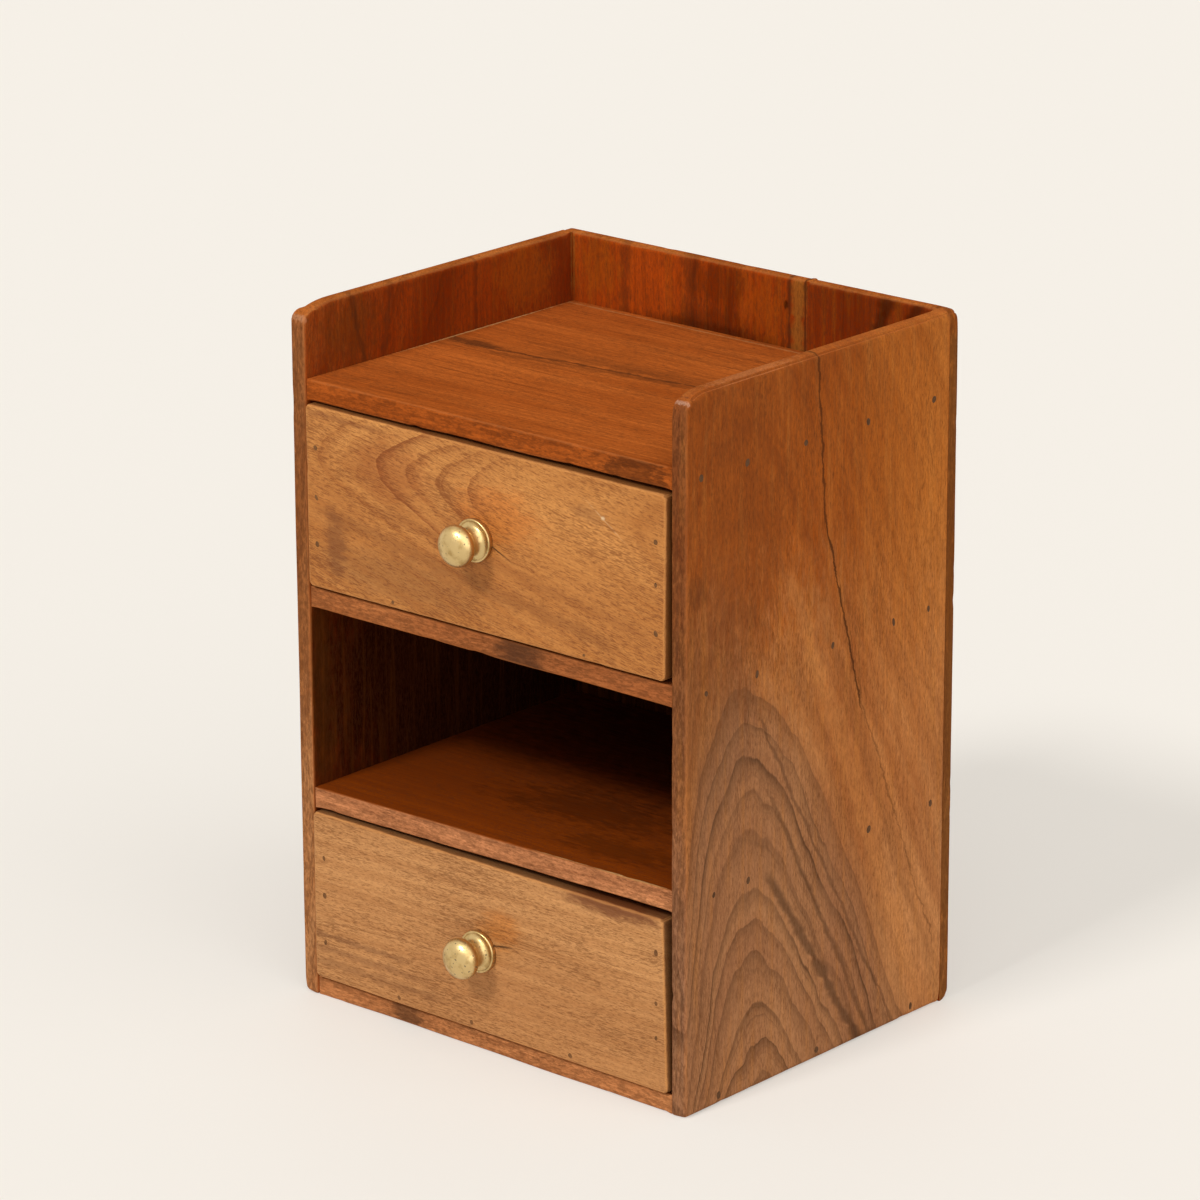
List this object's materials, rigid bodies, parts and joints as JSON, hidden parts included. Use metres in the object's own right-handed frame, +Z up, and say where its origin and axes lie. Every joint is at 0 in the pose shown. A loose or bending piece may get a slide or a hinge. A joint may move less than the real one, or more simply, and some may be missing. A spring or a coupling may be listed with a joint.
{
  "type": "desk organizer with drawers",
  "caption": "Small free-standing hardwood cabinet for a desk: inset drawers with brass knobs, an open cubby between them, and a tray on top with a low gallery.",
  "frame": {"origin": "on the desk, under the middle of the cabinet's footprint, at the base board's underside", "axes": "+Z up, -Y out of the drawer fronts, +X to the right as seen from the front"},
  "size_m": [0.2116, 0.1889, 0.3],
  "materials": {
    "carcass_wood": "satin varnish, red-brown hardwood",
    "front_wood": "satin varnish, golden-brown hardwood",
    "drawer_box_wood": "sanded, thinly oiled",
    "brass": "turned and satin polished",
    "steel": "dull zinc"
  },
  "bodies": {
    "carcass": {"left_side_panel": "carcass_wood", "right_side_panel": "carcass_wood", "back_board_left": "carcass_wood", "back_board_right": "carcass_wood", "top_board": "carcass_wood", "upper_shelf": "carcass_wood", "lower_shelf": "carcass_wood", "base_board": "carcass_wood", "left_side_brads": "steel", "right_side_brads": "steel", "back_brads": "steel"},
    "upper_drawer": {"upper_drawer_front": "front_wood", "upper_drawer_left_side": "drawer_box_wood", "upper_drawer_right_side": "drawer_box_wood", "upper_drawer_back": "drawer_box_wood", "upper_drawer_bottom": "drawer_box_wood", "upper_drawer_knob": "brass", "upper_drawer_knob_screw": "steel", "upper_drawer_knob_washer": "steel", "upper_drawer_front_brads": "steel", "upper_drawer_back_brads": "steel", "upper_drawer_bottom_brads": "steel"},
    "lower_drawer": {"lower_drawer_front": "front_wood", "lower_drawer_left_side": "drawer_box_wood", "lower_drawer_right_side": "drawer_box_wood", "lower_drawer_back": "drawer_box_wood", "lower_drawer_bottom": "drawer_box_wood", "lower_drawer_knob": "brass", "lower_drawer_knob_screw": "steel", "lower_drawer_knob_washer": "steel", "lower_drawer_front_brads": "steel", "lower_drawer_back_brads": "steel", "lower_drawer_bottom_brads": "steel"}
  },
  "joints": [
    {"name": "upper_drawer_slide", "type": "slide", "parent": "carcass", "child": "upper_drawer", "axis": [0, -1, 0], "range_m": [0, 0.11]},
    {"name": "lower_drawer_slide", "type": "slide", "parent": "carcass", "child": "lower_drawer", "axis": [0, -1, 0], "range_m": [0, 0.11]}
  ]
}
